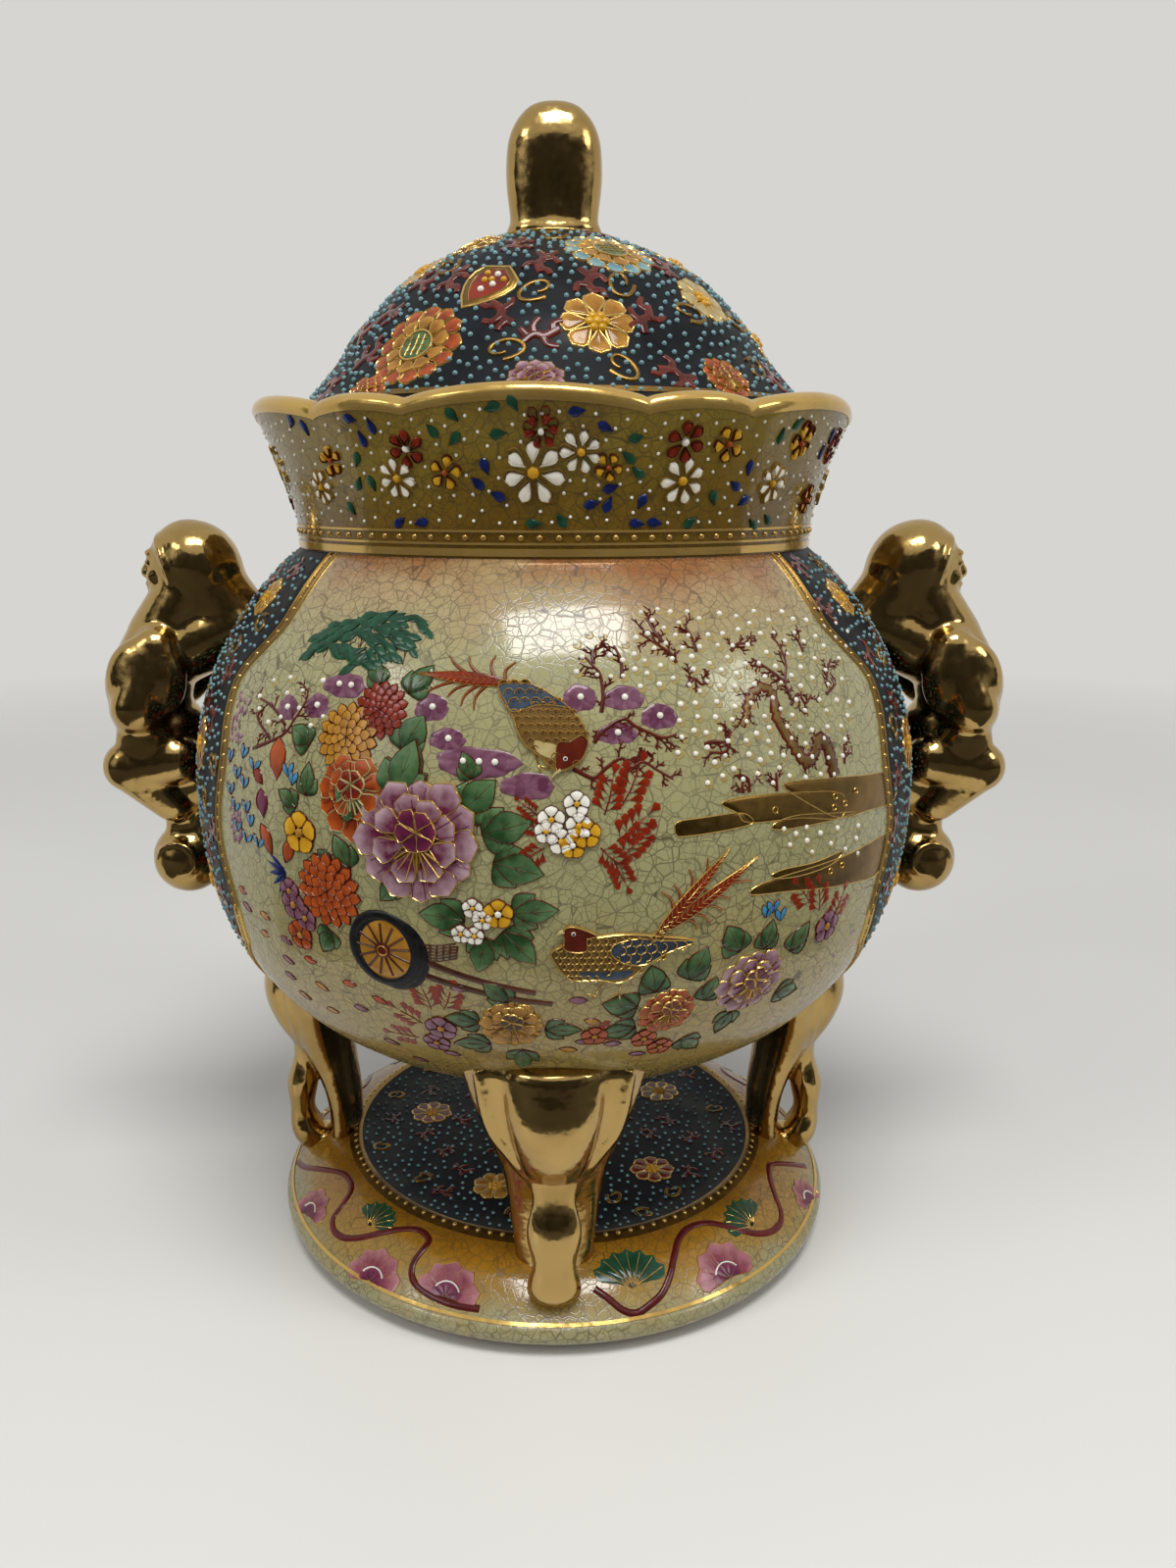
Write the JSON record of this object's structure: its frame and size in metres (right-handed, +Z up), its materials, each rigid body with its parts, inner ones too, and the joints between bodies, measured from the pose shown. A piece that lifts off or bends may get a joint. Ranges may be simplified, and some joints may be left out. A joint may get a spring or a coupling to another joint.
{
  "type": "lidded jar",
  "caption": "Globular lidded jar with a lobed collar, seated-figure handles and trunk-shaped legs on a round plinth; the domed lid lifts off to fill it.",
  "frame": {"origin": "centre of the plinth's foot, on the table", "axes": "+Z up along the jar's axis, the front leg towards -Y, the handles towards +X and -X"},
  "size_m": [0.193, 0.15, 0.2328],
  "materials": {
    "crackled_glaze": "gloss crackle glaze",
    "olive_glaze": "gloss crackle glaze with raised enamel",
    "cream_glaze": "gloss crackle glaze",
    "navy_enamel": "gloss enamel with raised dots",
    "bare_biscuit": "unglazed",
    "gilding": "polished gold lustre"
  },
  "bodies": {
    "jar": {"jar_bowl": "crackled_glaze", "neck_collar": "olive_glaze", "base_plinth": "cream_glaze", "handle_figure_left": "gilding", "handle_figure_right": "gilding", "leg_front": "gilding", "leg_right": "gilding", "leg_back": "gilding", "leg_left": "gilding"},
    "lid": {"lid_dome": "navy_enamel", "lid_flange": "bare_biscuit", "lid_knob": "gilding"}
  },
  "joints": [
    {"name": "lid_lift", "type": "slide", "parent": "jar", "child": "lid", "axis": [0, 0, 1], "range_m": [0, 0.12]}
  ]
}
